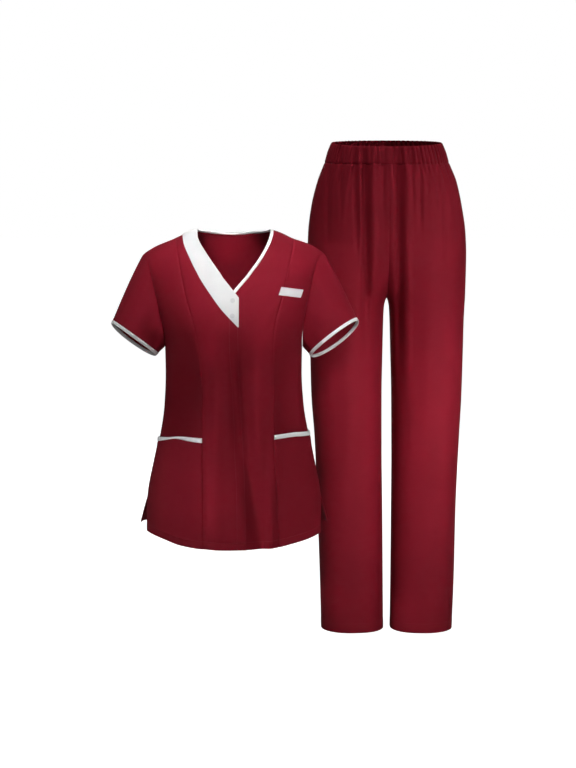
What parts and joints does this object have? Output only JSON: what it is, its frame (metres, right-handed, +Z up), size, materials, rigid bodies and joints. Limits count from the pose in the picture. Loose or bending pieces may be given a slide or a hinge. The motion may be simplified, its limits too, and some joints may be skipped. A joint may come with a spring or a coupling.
{
  "type": "medical scrubs, a short-sleeved top and trousers",
  "caption": "Two-piece medical scrub set: crossover V-neck top with bound pockets, and straight elastic-waist trousers, both in the hollow form of a wearer.",
  "frame": {"origin": "middle of the top's neck opening, level with the two neck points, where the wearer's shoulders hold it", "axes": "+Z up along both garments, front towards -Y, the wearer's left and the trousers towards +X"},
  "size_m": [0.7329, 0.4248, 1.0383],
  "materials": {
    "red_cloth": "fine matt twill",
    "white_trim": "fine matt twill",
    "snap_cap": "soft gloss"
  },
  "bodies": {
    "root": {"back": "red_cloth", "front_right_side": "red_cloth", "front_right_centre": "red_cloth", "front_left_centre": "red_cloth", "front_left_side": "red_cloth", "sleeve_right": "red_cloth", "sleeve_left": "red_cloth", "pocket_right": "red_cloth", "pocket_left": "red_cloth", "waistband": "red_cloth", "leg_right_front": "red_cloth", "leg_right_back": "red_cloth", "leg_left_front": "red_cloth", "leg_left_back": "red_cloth", "cuff_binding_right": "white_trim", "cuff_binding_left": "white_trim", "neck_band": "white_trim", "neck_binding_front": "white_trim", "neck_binding_back": "white_trim", "chest_tab": "white_trim", "pocket_binding_right": "white_trim", "pocket_binding_left": "white_trim", "snap_upper": "snap_cap", "snap_lower": "snap_cap"}
  },
  "joints": []
}
